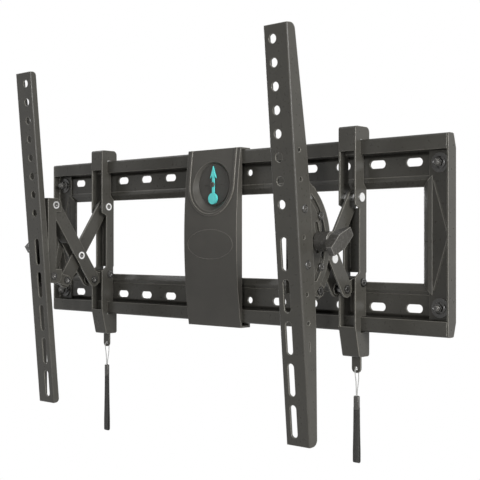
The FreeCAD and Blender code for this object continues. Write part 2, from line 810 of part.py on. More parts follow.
def hook_bracket(name, place):
    part = body(f"{name}_hook_bracket")
    gap = S.hook_gap
    tail_low = hook_top - S.hook_above - S.hook_tail_drop
    tail_front = ramp_top - S.hook_tail_drop * ramp_top / S.foot_drop - gap
    lip_front = S.rail_depth + gap
    shoulder = -(plate_top + S.hook_shoulder)
    low_front = S.hook_front - S.hook_slant
    rail_low = -lip_end + gap
    outline = [
        (S.hook_front, hook_top), (S.hook_tail, hook_top), (S.hook_tail, tail_low), (tail_front, tail_low),
        (ramp_top - gap, plate_top + gap), (lip_front, plate_top + gap), (lip_front, lip_end - gap),
        (S.hook_web_back, lip_end - gap), (S.hook_web_back, window_edge + S.notch_ramp),
        (S.hook_window_back, window_edge), (S.hook_window_back, S.notch_bottom),
        (S.hook_low_back, S.notch_bottom), (S.hook_low_back, rail_low), (lip_front, rail_low),
        (lip_front, shoulder), (S.hook_tail, shoulder), (S.hook_tail, hook_bottom), (low_front, hook_bottom),
        (S.hook_front, cap_high), (S.hook_front, S.notch_bottom - S.notch_ramp),
        (S.notch_front, S.notch_bottom), (S.notch_front, S.notch_top),
        (S.hook_front, S.notch_top + S.notch_ramp / 2),
    ]
    side = sketch_on(part, "YZ_Plane")
    polygon(side, [(-forward, up) for forward, up in outline])
    pad(part, side, hook_width, both_ways=True)
    thick = S.hook_sheet
    outside = S.hook_front * 2
    behind = -S.hook_front
    below = hook_bottom - thick
    web = S.hook_window_back + thick
    slant_back = low_front + S.hook_slant * thick / S.bottom_cap_height - thick
    channel = [
        (behind, hook_top + thick), (S.hook_web_back, hook_top + thick), (S.hook_web_back, hook_top - thick),
        (S.hook_front - thick, hook_top - thick), (S.hook_front - thick, cap_low), (outside, cap_low),
        (outside, cap_high), (S.hook_front - thick, cap_high), (slant_back, hook_bottom + thick),
        (S.seat_back, hook_bottom + thick), (S.seat_back, below), (behind, below),
        (behind, S.notch_bottom), (web, S.notch_bottom), (web, S.notch_top), (behind, S.notch_top),
    ]
    inside = sketch_on(part, "YZ_Plane")
    polygon(inside, [(-forward, up) for forward, up in channel])
    pocket(part, inside, hook_width - thick * 2, both_ways=True)
    holes = sketch_on(part, "YZ_Plane")
    pivot(holes, S.rear_pivot, S.top_pivot, pivot_hole)
    pivot(holes, rear_rocker_pivot, S.rocker_height, pivot_hole)
    pocket(part, holes, hook_width * 2, both_ways=True)
    guide = sketch_on(part, "XY_Plane", hook_bottom - thick)
    room = S.latch_width / 2 + S.latch_guide_gap
    back = S.latch_forward - S.latch_guide_gap
    front = S.latch_forward + S.latch_sheet + S.latch_guide_gap
    polygon(guide, [(-room, -back), (room, -back), (room, -front), (-room, -front)])
    pocket(part, guide, thick * 3, reverse=True)
    round_edges(part, [(-S.hook_front, hook_top), (-S.hook_tail, hook_bottom), (-low_front, hook_bottom),
                       (-S.notch_front, S.notch_bottom), (-S.notch_front, S.notch_top)], 0, S.hook_round)
    round_edges(part, [(-S.hook_tail, hook_top)], 0, S.hook_back_round)
    put(part, across=place)
    node(part, f"{name}_hook_bracket")


def rivet(label, steps, forward, up, place, side):
    """A rivet: steps run outwards from the middle and are mirrored; its inner end has a dimple."""
    mirrored = [(-end, -start, radius) for start, end, radius in reversed(steps[1:])]
    middle = (-steps[0][1], steps[0][1], steps[0][2])
    part = turned(label, mirrored + [middle] + steps[1:])
    dimple = sketch_on(part, "YZ_Plane", -steps[-1][1] * side)
    circle(dimple, 0, 0, S.rivet_dimple_radius)
    pocket(part, dimple, S.rivet_dimple_depth, reverse=side > 0)
    return put(part, across=place, forward=forward, up=up)


def head_steps(seat, height):
    return [(seat, seat + height, S.rivet_head_radius)]


def hook_rivets(name, place, side):
    shank, collar = S.rivet_radius, S.collar_radius
    top = [(0, rear_link_half + S.side_gap, shank), (rear_link_half + S.side_gap, hook_inner, collar),
           (hook_inner, hook_half, shank)] + head_steps(hook_half, S.rivet_head_height)
    low = [(0, hook_half, shank)] + head_steps(hook_half, S.rivet_head_height)
    members = [
        rivet(f"{name}_hook_top_rivet", top, S.rear_pivot, S.top_pivot, place, side),
        rivet(f"{name}_hook_low_rivet", low, rear_rocker_pivot, S.rocker_height, place, side),
    ]
    node(group("Part::Compound", f"{name}_hook_rivet_pair", members), f"{name}_hook_rivets")


def rear_link(name, place, side):
    part = body(f"{name}_rear_link")
    outline = sketch_on(part, "YZ_Plane")
    slot(outline, (-S.rear_pivot, S.top_pivot), (-front_tail, tail_up), S.rear_link_round)
    pad(part, outline, S.rear_link_sheet, both_ways=True)
    holes = sketch_on(part, "YZ_Plane")
    pivot(holes, S.rear_pivot, S.top_pivot, pivot_hole)
    pivot(holes, centre_forward, centre_up, pivot_hole)
    pivot(holes, front_tail, tail_up, pivot_hole)
    pocket(part, holes, S.rear_link_sheet * 2, both_ways=True)
    put(part, across=place)
    node(part, f"{name}_rear_link")
    collar = rear_link_half
    steps = [(0, collar, S.rivet_radius), (collar, rocker_inner - S.side_gap, S.collar_radius),
             (rocker_inner - S.side_gap, rocker_half + S.side_gap, S.rivet_radius)]
    steps += head_steps(rocker_half + S.side_gap, S.slim_head_height)
    pin = rivet(f"{name}_rear_link_pin", steps, front_tail, tail_up, place, side)
    node(pin, f"{name}_rear_link_rivet")


def front_link(name, place, side):
    """A folded link: two cheeks joined by a web on the front side, above the centre pivot."""
    part = body(f"{name}_front_link")
    outline = sketch_on(part, "YZ_Plane")
    slot(outline, (-front_pivot, S.top_pivot), (-rear_tail, tail_up), S.front_link_round)
    pad(part, outline, front_link_width, both_ways=True)
    half_length = root(S.scissor_width * S.scissor_width / 4 + S.scissor_drop * S.scissor_drop)
    lean_across = S.scissor_width / 2 / half_length
    lean_up = S.scissor_drop / half_length

    def along(distance, offset):
        """A point beside the link's line, measured from its centre pivot; offset is to the front."""
        forward = centre_forward + lean_across * distance + lean_up * offset
        up = centre_up + lean_up * distance - lean_across * offset
        return (-forward, up)

    wide = S.front_link_round * 2
    web = S.front_link_round - S.front_link_sheet
    web_low = S.front_link_web
    web_high = half_length - S.front_link_round
    far = half_length + wide
    low = -half_length
    inside = sketch_on(part, "YZ_Plane")
    polygon(inside, [
        along(low, -wide), along(low, wide), along(web_low, wide), along(web_low, web),
        along(web_high, web), along(web_high, wide), along(far, wide), along(far, -wide),
    ])
    pocket(part, inside, front_link_inner * 2, both_ways=True)
    holes = sketch_on(part, "YZ_Plane")
    for forward, up in ((front_pivot, S.top_pivot), (centre_forward, centre_up), (rear_tail, tail_up)):
        pivot(holes, forward, up, pivot_hole)
    pocket(part, holes, front_link_width * 2, both_ways=True)
    put(part, across=place)
    node(part, f"{name}_front_link")
    shank, inner = S.rivet_radius, front_link_inner
    centre = [(0, rear_link_half + S.side_gap, shank), (rear_link_half + S.side_gap, inner, S.collar_radius),
              (inner, front_link_half, shank)] + head_steps(front_link_half, S.slim_head_height)
    tail = [(0, front_link_half, shank)] + head_steps(front_link_half, S.slim_head_height)
    members = [
        rivet(f"{name}_centre_rivet", centre, centre_forward, centre_up, place, side),
        rivet(f"{name}_tail_rivet", tail, rear_tail, tail_up, place, side),
    ]
    node(group("Part::Compound", f"{name}_front_link_rivet_pair", members), f"{name}_front_link_rivets")


def rocker(name, place, label, held, free, way):
    """A short folded link; its far hole has play, because that pivot is left open."""
    part = body(f"{name}_{label}")
    outline = sketch_on(part, "YZ_Plane")
    slot(outline, (-held, S.rocker_height), (-free, tail_up), S.rocker_round)
    pad(part, outline, rocker_width, both_ways=True)
    inside = sketch_on(part, "YZ_Plane")
    behind = held - S.rocker_round * 2 * way
    beyond = free + S.rocker_round * 3 * way
    web_end = held + S.rocker_web * way
    roof = S.rocker_height + S.rocker_round - S.rocker_sheet
    high = S.rocker_height + S.rocker_round * 3
    low = tail_up - S.rocker_round * 3
    polygon(inside, [(-behind, roof), (-web_end, roof), (-web_end, high), (-beyond, high), (-beyond, low),
                     (-behind, low)])
    pocket(part, inside, rocker_inner * 2, both_ways=True)
    holes = sketch_on(part, "YZ_Plane")
    pivot(holes, held, S.rocker_height, pivot_hole)
    pivot(holes, free, tail_up, S.rivet_radius + S.rocker_play)
    pocket(part, holes, rocker_width * 2, both_ways=True)
    put(part, across=place)
    node(part, f"{name}_{label}")


def carriage(name, place, side):
    """The front bracket: two lobed cheeks and a front web, with the deep cheek on the tilt side."""
    part = body(f"{name}_carriage")
    front = front_pivot + S.carriage_front
    lobe_back = front_pivot - S.carriage_lobe
    deep = front_pivot - S.carriage_back
    bay = S.carriage_bay / 2
    mid = S.tilt_axis_height
    top = S.top_pivot + S.carriage_lobe
    low = S.rocker_height - S.carriage_lobe
    side_view = sketch_on(part, "YZ_Plane")
    polygon(side_view, [
        (-front, top), (-lobe_back, top), (-lobe_back, S.top_pivot - S.carriage_lobe),
        (-deep, mid + bay), (-deep, mid - bay), (-lobe_back, S.rocker_height + S.carriage_lobe),
        (-lobe_back, low), (-front, low),
    ])
    pad(part, side_view, carriage_width, both_ways=True)
    inside = sketch_on(part, "YZ_Plane")
    web = front - S.carriage_sheet
    over = top + S.carriage_sheet
    under = low - S.carriage_sheet
    polygon(inside, [(0, over), (-web, over), (-web, under), (0, under)])
    pocket(part, inside, carriage_inner * 2, both_ways=True)
    trim = sketch_on(part, "YZ_Plane", across_span(side, -carriage_width, as_size(0)))
    polygon(trim, [
        (0, S.top_pivot - S.carriage_lobe), (-front_pivot, S.top_pivot - S.carriage_lobe),
        (-front_pivot, S.rocker_height + S.carriage_lobe), (0, S.rocker_height + S.carriage_lobe),
    ])
    pocket(part, trim, carriage_width, reverse=True)
    holes = sketch_on(part, "YZ_Plane")
    pivot(holes, front_pivot, S.top_pivot, pivot_hole)
    pivot(holes, front_rocker_pivot, S.rocker_height, pivot_hole)
    pocket(part, holes, carriage_width * 2, both_ways=True)
    studs = sketch_on(part, "YZ_Plane", across_span(side, as_size(0), carriage_width))
    for radius, angle in stud_places():
        forward, up = on_sector(radius, angle)
        pivot(studs, forward, up, S.stud_radius + S.running_gap)
    pocket(part, studs, carriage_width, reverse=True)
    round_edges(part, [(-lobe_back, top), (-lobe_back, low)], 0, S.carriage_round)
    put(part, across=place)
    node(part, f"{name}_carriage")
    shank = S.rivet_radius
    top_steps = [(0, front_link_half + S.side_gap, shank),
                 (front_link_half + S.side_gap, carriage_inner, S.collar_radius),
                 (carriage_inner, carriage_half, shank)]
    low_steps = [(0, rocker_half + S.side_gap, shank),
                 (rocker_half + S.side_gap, carriage_inner, S.collar_radius),
                 (carriage_inner, carriage_half, shank)]
    flush = sector_inner - S.side_gap
    members = [
        rivet(f"{name}_carriage_top_rivet", top_steps + [(carriage_half, flush, S.rivet_head_radius)],
              front_pivot, S.top_pivot, place, side),
        rivet(f"{name}_carriage_low_rivet", low_steps + [(carriage_half, flush, S.rivet_head_radius)],
              front_rocker_pivot, S.rocker_height, place, side),
    ]
    node(group("Part::Compound", f"{name}_carriage_rivet_pair", members), f"{name}_carriage_rivets")


def stud_places():
    """The two guide studs and the knob's stud, as (radius, angle) about the tilt axis."""
    return [(S.guide_radius, S.guide_angle), (S.guide_radius, -S.guide_angle),
            (S.knob_radius_place, as_size(0))]


def on_sector(radius, angle):
    forward = S.tilt_axis_forward - radius * cosine(angle)
    up = S.tilt_axis_height + radius * sine(angle)
    return forward, up


def studs(name, place, side):
    """Headed studs in the carriage's deep cheek that run in the sector's slots."""
    guides = []
    head = arm_inner + S.side_gap
    for number, (radius, angle) in enumerate(stud_places()):
        forward, up = on_sector(radius, angle)
        if number < 2:
            steps = [(carriage_inner, head, S.stud_radius),
                     (head, head + S.stud_head_height, S.stud_head_radius)]
        else:
            steps = [(carriage_inner, head + S.knob_washer_sheet + S.knob_stud_reach, S.stud_radius)]
        if side < 0:
            steps = [(-end, -start, size) for start, end, size in reversed(steps)]
        stud = turned(f"{name}_stud_{number}", steps)
        put(stud, across=place, forward=forward, up=up)
        if number < 2:
            guides.append(stud)
        else:
            node(stud, f"{name}_knob_stud")
    node(group("Part::Compound", f"{name}_guide_stud_pair", guides), f"{name}_guide_studs")


def tilt_knob(name, place, side):
    forward, up = on_sector(*stud_places()[2])
    bore = S.stud_radius + S.running_gap
    seat = arm_inner + S.side_gap
    washer_steps = [(seat, seat + S.knob_washer_sheet, S.knob_washer_radius)]
    if side < 0:
        washer_steps = [(-end, -start, size) for start, end, size in reversed(washer_steps)]
    washer = turned(f"{name}_knob_washer_body", washer_steps, bore)
    put(washer, across=place, forward=forward, up=up)
    node(washer, f"{name}_knob_washer")
    base = seat + S.knob_washer_sheet + S.side_gap
    boss_end = base + S.knob_boss_length
    part = body(f"{name}_knob_body")
    disc = sketch_on(part, "YZ_Plane", across_span(side, base, boss_end))
    circle(disc, 0, 0, S.knob_boss_radius)
    pad(part, disc, S.knob_boss_length)
    wing_start = boss_end - S.side_gap
    wing = sketch_on(part, "YZ_Plane", across_span(side, wing_start, wing_start + S.wing_sheet))
    long, mid, tip = S.wing_length / 2, S.wing_height / 2, S.wing_tip_height / 2
    polygon(wing, [(-long, tip), (-long, -tip), (0, -mid), (long, -tip), (long, tip), (0, mid)])
    pad(part, wing, S.wing_sheet)
    taper = sketch_on(part, "XY_Plane")
    thin = wing_start + S.wing_sheet - S.wing_tip_sheet
    under = wing_start - S.wing_tip_sheet
    for way in (-1, 1):
        wedge = [
            (under, S.knob_boss_radius), (wing_start, S.knob_boss_radius), (thin, long), (thin, long + tip),
            (under, long + tip),
        ]
        polygon(taper, [(across * side, reach * way) for across, reach in wedge])
    pocket(part, taper, S.wing_height * 2, both_ways=True)
    hole = sketch_on(part, "YZ_Plane", across_span(side, as_size(0), base + S.knob_stud_reach))
    circle(hole, 0, 0, bore)
    pocket(part, hole, base + S.knob_stud_reach, reverse=True)
    put(part, across=place, forward=forward, up=up, rotation=Rotation(Vector(1, 0, 0), S.wing_angle.value))
    bind(part, "Placement.Rotation.Angle", S.wing_angle)
    node(part, f"{name}_tilt_knob")


def put_tilted(thing, place):
    """Places a piece that was modelled upright about the tilt axis at its rest tilt."""
    put(thing, across=place, forward=S.tilt_axis_forward, up=S.tilt_axis_height,
        rotation=Rotation(Vector(1, 0, 0), S.tilt_rest.value))
    bind(thing, "Placement.Rotation.Angle", S.tilt_rest)


def tv_arm(name, place, side):
    """The upright channel; sizes are measured back from the tilt axis."""
    part = body(f"{name}_tv_arm")
    face = S.arm_setback
    top = S.arm_middle + S.arm_length / 2
    low = S.arm_middle - S.arm_length / 2
    mid = S.arm_middle
    side_view = sketch_on(part, "YZ_Plane")
    polygon(side_view, [
        (face, top), (face, low), (face + S.arm_end_depth, low),
        (face + S.arm_waist_depth, mid - S.arm_waist),
        (face + S.arm_belly_depth, mid - S.arm_belly), (face + S.arm_belly_depth, mid + S.arm_belly),
        (face + S.arm_waist_depth, mid + S.arm_waist), (face + S.arm_end_depth, top),
    ])
    pad(part, side_view, S.arm_width, both_ways=True)
    inside = sketch_on(part, "YZ_Plane")
    back = face + S.arm_belly_depth * 2
    polygon(inside, [
        (face + S.arm_sheet, top + face), (face + S.arm_sheet, low - face),
        (back, low - face), (back, top + face),
    ])
    pocket(part, inside, arm_inner * 2, both_ways=True)
    trim = sketch_on(part, "YZ_Plane", across_span(side, -S.arm_width, as_size(0)))
    inner_edge = face + S.arm_inner_depth
    polygon(trim, [
        (inner_edge, top + face), (inner_edge, low - face), (back, low - face), (back, top + face),
    ])
    pocket(part, trim, S.arm_width, reverse=True)
    holes = sketch_on(part, "XZ_Plane", -back)
    row = S.tv_hole_shift * -side
    for index in range(int(S.tv_hole_count.value)):
        circle(holes, row, top - S.tv_hole_margin - S.tv_hole_pitch * index, S.tv_hole_radius)
    hole_run = S.tv_hole_margin + S.tv_hole_pitch * (S.tv_hole_count - 1)
    slot_run = S.arm_length - hole_run - S.tv_slot_clear - S.tv_slot_margin
    tv_slot_pitch = slot_run / (S.tv_slot_count - 1)
    reach = (tv_slot_pitch - S.tv_slot_land - S.tv_slot_width) / 2
    for index in range(int(S.tv_slot_count.value)):
        middle = low + S.tv_slot_margin + tv_slot_pitch * index
        slot(holes, (row, middle - reach), (row, middle + reach), S.tv_slot_width / 2)
    pocket(part, holes, back, reverse=True)
    sides = sketch_on(part, "YZ_Plane", across_span(side, as_size(0), S.arm_width))
    line = face + S.side_hole_depth
    for distance in (-S.side_hole_far, -S.side_hole_near, 0, S.side_hole_near, S.side_hole_far):
        circle(sides, line, mid + distance, S.side_hole_radius)
    slit_top = mid - S.side_slit_drop
    slot(sides, (line, slit_top), (line, slit_top - S.side_slit_length), S.side_slit_width / 2)
    for turn in (-1, 1):
        circle(sides, face + S.screw_depth, mid + S.screw_place * turn, S.screw_radius + S.running_gap)
    pocket(part, sides, S.arm_width, reverse=True)
    round_edges(part, [(face + S.arm_end_depth, top), (face + S.arm_end_depth, low)], 0, S.arm_end_round)
    round_edges(part, [(inner_edge, top), (inner_edge, low)], 0, S.arm_inner_round)
    round_edges(part, [(arm_half, face), (-arm_half, face)], 2, S.arm_sheet)
    put_tilted(part, place)
    node(part, f"{name}_tv_arm")


def tilt_sector(name, place, side):
    """The half-moon plate with an arc slot for the guide studs and a short one for the knob."""
    part = body(f"{name}_sector_plate")
    plate = sketch_on(part, "YZ_Plane", across_span(side, sector_inner, arm_inner))
    chord = S.arm_setback + S.arm_sheet + S.side_gap
    half = root(S.sector_radius * S.sector_radius - chord * chord)
    turn = math.atan2(half.value, chord.value)
    rim = Part.ArcOfCircle(Part.Circle(Vector(), Vector(0, 0, 1), S.sector_radius.value), -turn, turn)
    arc = plate.addGeometry(rim, False)
    line = plate.addGeometry(Part.LineSegment(rim.EndPoint, rim.StartPoint), False)
    plate.addConstraint(Sketcher.Constraint("Coincident", arc, 2, line, 1))
    plate.addConstraint(Sketcher.Constraint("Coincident", line, 2, arc, 1))
    plate.addConstraint(Sketcher.Constraint("Coincident", arc, 3, -1, 1))
    plate.addConstraint(Sketcher.Constraint("Vertical", line))
    constrain(plate, "Radius", arc, size=S.sector_radius)
    constrain(plate, "DistanceX", -1, 1, line, 1, size=chord)
    pad(part, plate, S.sector_sheet)
    holes = sketch_on(part, "YZ_Plane", across_span(side, as_size(0), S.arm_width))
    for way in (-1, 1):
        circle(holes, S.arm_setback + S.screw_depth, S.arm_middle + S.screw_place * way,
               S.screw_radius + S.running_gap)
    pocket(part, holes, S.arm_width, reverse=True)
    slots = []
    width = S.stud_radius + S.stud_gap
    start = across_span(side, as_size(0), S.arm_width)
    runs = (("guide", S.guide_radius, S.guide_slot_angle), ("knob", S.knob_radius_place, S.knob_slot_angle))
    for label, radius, reach in runs:
        ring = cylinder(f"{name}_{label}_outer", radius + width, S.arm_width, reach * 2)
        core = cylinder(f"{name}_{label}_inner", radius - width, S.arm_width, reach * 2)
        for piece in (ring, core):
            piece.Placement = Placement(Vector(), Rotation(Vector(1, 1, 1), 120)
                                        * Rotation(Vector(0, 0, 1), -reach.value))
            bind(piece, "Placement.Base.x", start)
        members = [cut(f"{name}_{label}_band", ring, core)]
        for way in (-1, 1):
            cap = cylinder(f"{name}_{label}_cap_{way + 1}", width, S.arm_width)
            put(cap, across=start, forward=-radius * cosine(reach), up=radius * sine(reach) * way,
                rotation=ALONG_X)
            members.append(cap)
        slots.append(group("Part::MultiFuse", f"{name}_{label}_slot", members))
    tools = group("Part::MultiFuse", f"{name}_sector_slots", slots)
    plate_cut = cut(f"{name}_sector_cut", part, tools)
    put_tilted(plate_cut, place)
    node(plate_cut, f"{name}_tilt_sector")
    screws = []
    for way in (-1, 1):
        steps = [(sector_inner, arm_half, S.screw_radius),
                 (arm_half, arm_half + S.screw_head_height, S.screw_head_radius)]
        if side < 0:
            steps = [(-end, -start, size) for start, end, size in reversed(steps)]
        screw = turned(f"{name}_screw_{way + 1}", steps)
        put(screw, forward=-(S.arm_setback + S.screw_depth), up=S.arm_middle + S.screw_place * way)
        screws.append(screw)
    pair = group("Part::Compound", f"{name}_screw_pair", screws)
    put_tilted(pair, place)
    node(pair, f"{name}_sector_screws")


# Latch and pull

latch_step = -(plate_top + S.latch_step_drop)
tab_bottom = hook_bottom - S.latch_tab_drop
latch_front = S.latch_forward + S.latch_sheet
latch_mid = S.latch_forward + S.latch_sheet / 2


def latch(name, place):
    """A bent strip: a tooth behind the lower rail, a lug for the spring and a tab to pull."""
    part = body(f"{name}_latch")
    thick = S.latch_sheet
    tooth_back = S.latch_tooth_forward
    tooth_front = tooth_back + S.latch_tooth_sheet
    tooth_top = -(plate_top - S.latch_tooth_rise)
    lug = latch_front + S.latch_lug_reach
    side = sketch_on(part, "YZ_Plane")
    polygon(side, [(-forward, up) for forward, up in (
        (tooth_back, tooth_top), (tooth_back, latch_step - thick), (S.latch_forward, latch_step - thick),
        (S.latch_forward, tab_bottom), (latch_front, tab_bottom), (latch_front, latch_step - thick),
        (lug, latch_step - thick), (lug, latch_step), (tooth_front, latch_step), (tooth_front, tooth_top),
    )])
    pad(part, side, S.latch_width, both_ways=True)
    eye = sketch_on(part, "XZ_Plane", 0)
    circle(eye, 0, tab_bottom + S.latch_hole_rise, S.latch_hole_radius)
    pocket(part, eye, S.hook_front, reverse=True)
    half = S.latch_width / 2
    round_edges(part, [(half, tab_bottom), (-half, tab_bottom)], 1, S.latch_tab_round)
    put(part, across=place)
    node(part, f"{name}_latch")


def latch_spring(name, place):
    """A compression spring between the bracket's seat and the latch's lug."""
    low = hook_bottom + S.hook_sheet + S.spring_gap + S.spring_wire
    high = latch_step - S.latch_sheet - S.spring_gap - S.spring_wire
    forward = latch_front + S.latch_guide_gap + S.spring_radius + S.spring_wire
    turns = int(S.spring_turns.value)
    count = turns * SPRING_POINTS_PER_TURN
    points = []
    for index in range(count + 1):
        angle = 2 * math.pi * index / SPRING_POINTS_PER_TURN
        across, aside = S.spring_radius.value * math.cos(angle), S.spring_radius.value * math.sin(angle)
        points.append(Vector(across, aside, (high.value - low.value) * index / count))
    spine = doc.addObject("Part::Polygon", f"{name}_spring_line")
    spine.Nodes = points
    wire = doc.addObject("Part::RegularPolygon", f"{name}_spring_wire")
    wire.Polygon = 5
    bind(wire, "Circumradius", S.spring_wire)
    wire.Placement = Placement(points[0], Rotation(Vector(0, 0, 1), points[1] - points[0]))
    coil = doc.addObject("Part::Sweep", f"{name}_spring_coil")
    coil.Sections = [wire]
    coil.Spine = (spine, [])
    coil.Solid = True
    coil.Frenet = False
    coil.Transition = "Right corner"
    put(coil, across=place, forward=forward, up=low)
    node(coil, f"{name}_latch_spring")


def pull(name, place, strap_drop):
    """The string through the tab, the ferrule that gathers it and the folded strap."""
    hole_up = tab_bottom + S.latch_hole_rise
    ferrule_top = tab_bottom - S.string_drop
    ferrule_low = ferrule_top - S.ferrule_height
    reach = S.latch_sheet / 2 + S.string_radius + S.latch_guide_gap
    part = body(f"{name}_pull_string")
    for way in (-1, 1):
        strand = sketch_on(part, "XY_Plane", ferrule_top)
        circle(strand, 0, -(latch_mid + reach * way), S.string_radius)
        pad(part, strand, hole_up - ferrule_top)
    bridge = sketch_on(part, "XZ_Plane", latch_mid - reach - S.string_radius)
    circle(bridge, 0, hole_up, S.string_radius)
    pad(part, bridge, (reach + S.string_radius) * 2)
    put(part, across=place)
    node(part, f"{name}_pull_string")

    clip = body(f"{name}_pull_ferrule")
    section = sketch_on(clip, "XY_Plane", ferrule_low)
    half, deep = S.ferrule_width / 2, S.ferrule_depth / 2
    polygon(section, [
        (-half, -(latch_mid - deep)), (half, -(latch_mid - deep)), (half, -(latch_mid + deep)),
        (-half, -(latch_mid + deep)),
    ])
    pad(clip, section, S.ferrule_height)
    put(clip, across=place)
    node(clip, f"{name}_pull_ferrule")

    strap = body(f"{name}_pull_strap")
    loop = sketch_on(strap, "YZ_Plane")
    outer = S.strap_bend + S.strap_sheet
    strap_low = ferrule_low - strap_drop
    for radius in (outer, S.strap_bend):
        slot(loop, (-latch_mid, ferrule_low - outer), (-latch_mid, strap_low + outer), radius)
    pad(strap, loop, S.strap_width, both_ways=True)
    put(strap, across=place)
    node(strap, f"{name}_pull_strap")


def unit(name, place, side, strap_drop):
    hook_bracket(name, place)
    hook_rivets(name, place, side)
    latch(name, place)
    latch_spring(name, place)
    pull(name, place, strap_drop)
    rear_link(name, place, side)
    front_link(name, place, side)
    rocker(name, place, "rear_rocker", rear_rocker_pivot, rear_tail, 1)
    rocker(name, place, "front_rocker", front_rocker_pivot, front_tail, -1)
    carriage(name, place, side)
    studs(name, place, side)
    tilt_knob(name, place, side)
    tv_arm(name, place, side)
    tilt_sector(name, place, side)


rail("upper_rail", 1)
rail("lower_rail", -1)
end_plate("left_end_plate", -1)
end_plate("right_end_plate", 1)
corner_fixings()
centre_cover()
level_gauge()
unit("left", S.left_unit_place, -1, S.left_strap_drop)
unit("right", S.right_unit_place, 1, S.right_strap_drop)
doc.recompute()

for thing in doc.Objects:
    if {"Invalid", "Error"} & set(thing.State):
        raise RuntimeError(f"{thing.Label} did not build: {thing.State}")

os.makedirs("parts", exist_ok=True)
for thing in nodes:
    if thing.Shape.isNull() or not thing.Shape.isValid():
        raise RuntimeError(f"{thing.Label} has no valid solid")
    thing.Shape.exportStep(f"parts/{thing.Label}.step")
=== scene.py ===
"""Finishes, soft pulls, small fasteners, studio and camera for the television wall mount."""

import json
import math

import bmesh
import bpy
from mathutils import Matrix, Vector


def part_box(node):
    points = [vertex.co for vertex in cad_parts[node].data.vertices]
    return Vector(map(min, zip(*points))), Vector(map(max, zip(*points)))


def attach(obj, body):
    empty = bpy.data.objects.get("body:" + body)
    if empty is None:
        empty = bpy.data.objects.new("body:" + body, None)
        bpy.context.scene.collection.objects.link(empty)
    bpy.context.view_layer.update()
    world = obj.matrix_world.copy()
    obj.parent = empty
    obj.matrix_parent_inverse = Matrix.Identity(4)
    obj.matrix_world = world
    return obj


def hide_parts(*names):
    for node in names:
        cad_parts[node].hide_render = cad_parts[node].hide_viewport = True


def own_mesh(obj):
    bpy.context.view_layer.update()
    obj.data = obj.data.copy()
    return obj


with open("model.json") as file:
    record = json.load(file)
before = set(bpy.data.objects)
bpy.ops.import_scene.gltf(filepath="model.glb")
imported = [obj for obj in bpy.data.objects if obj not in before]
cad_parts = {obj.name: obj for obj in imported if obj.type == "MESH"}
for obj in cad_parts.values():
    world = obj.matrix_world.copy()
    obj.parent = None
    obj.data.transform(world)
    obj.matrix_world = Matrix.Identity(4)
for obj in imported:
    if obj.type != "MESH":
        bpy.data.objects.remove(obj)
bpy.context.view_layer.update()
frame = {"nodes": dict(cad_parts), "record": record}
scene = bpy.context.scene
nodes = frame["nodes"]
body_of = {node: body for body, members in frame["record"]["behaviour"]["bodies"].items()
           for node in members}
SIDES = {"left": -1, "right": 1}  # each unit, and the way along X to its outer side
MM = 0.001
RIVET_SPLIT = -40 * MM  # rivets below this height are dulled dark, and their outer ends are rolled


# Materials

def new_material(name):
    """A node material; returns it with its tree and its shader."""
    material = bpy.data.materials.new(name)
    material.use_nodes = True
    tree = material.node_tree
    return material, tree, tree.nodes["Principled BSDF"]


def add_node(tree, kind, **values):
    """A node with its sockets set by name; a socket's spaces are written as underscores."""
    made = tree.nodes.new(kind)
    for key, value in values.items():
        made.inputs[key.replace("_", " ")].default_value = value
    return made


def object_place(tree):
    return tree.nodes.new("ShaderNodeTexCoord").outputs["Object"]


def noise(tree, place, scale, detail=3.0):
    made = add_node(tree, "ShaderNodeTexNoise", Scale=scale, Detail=detail)
    tree.links.new(place, made.inputs["Vector"])
    return made.outputs["Fac"]


def mapped(tree, value, start, end, low, high):
    """Maps a value from one range onto another."""
    made = add_node(tree, "ShaderNodeMapRange", From_Min=start, From_Max=end, To_Min=low, To_Max=high)
    tree.links.new(value, made.inputs["Value"])
    return made.outputs["Result"]


def spread(tree, factor, low, high):
    """Maps the range that noise mostly has onto a range of numbers."""
    noise_low, noise_high = 0.3, 0.7
    return mapped(tree, factor, noise_low, noise_high, low, high)


def shaded(colour, share):
    return tuple(channel * share for channel in colour)


def tinted(tree, factor, dark, light):
    """Mixes two colours by a factor."""
    made = tree.nodes.new("ShaderNodeMix")
    made.data_type = "RGBA"
    made.inputs["A"].default_value = (*dark, 1)
    made.inputs["B"].default_value = (*light, 1)
    tree.links.new(factor, made.inputs["Factor"])
    return made.outputs["Result"]


def bumped(tree, shader, height, distance, base=None):
    """Raises a shader's surface by a height, over a base normal where one is given."""
    made = add_node(tree, "ShaderNodeBump", Distance=distance)
    tree.links.new(height, made.inputs["Height"])
    if base is not None:
        tree.links.new(base, made.inputs["Normal"])
    tree.links.new(made.outputs["Normal"], shader.inputs["Normal"])


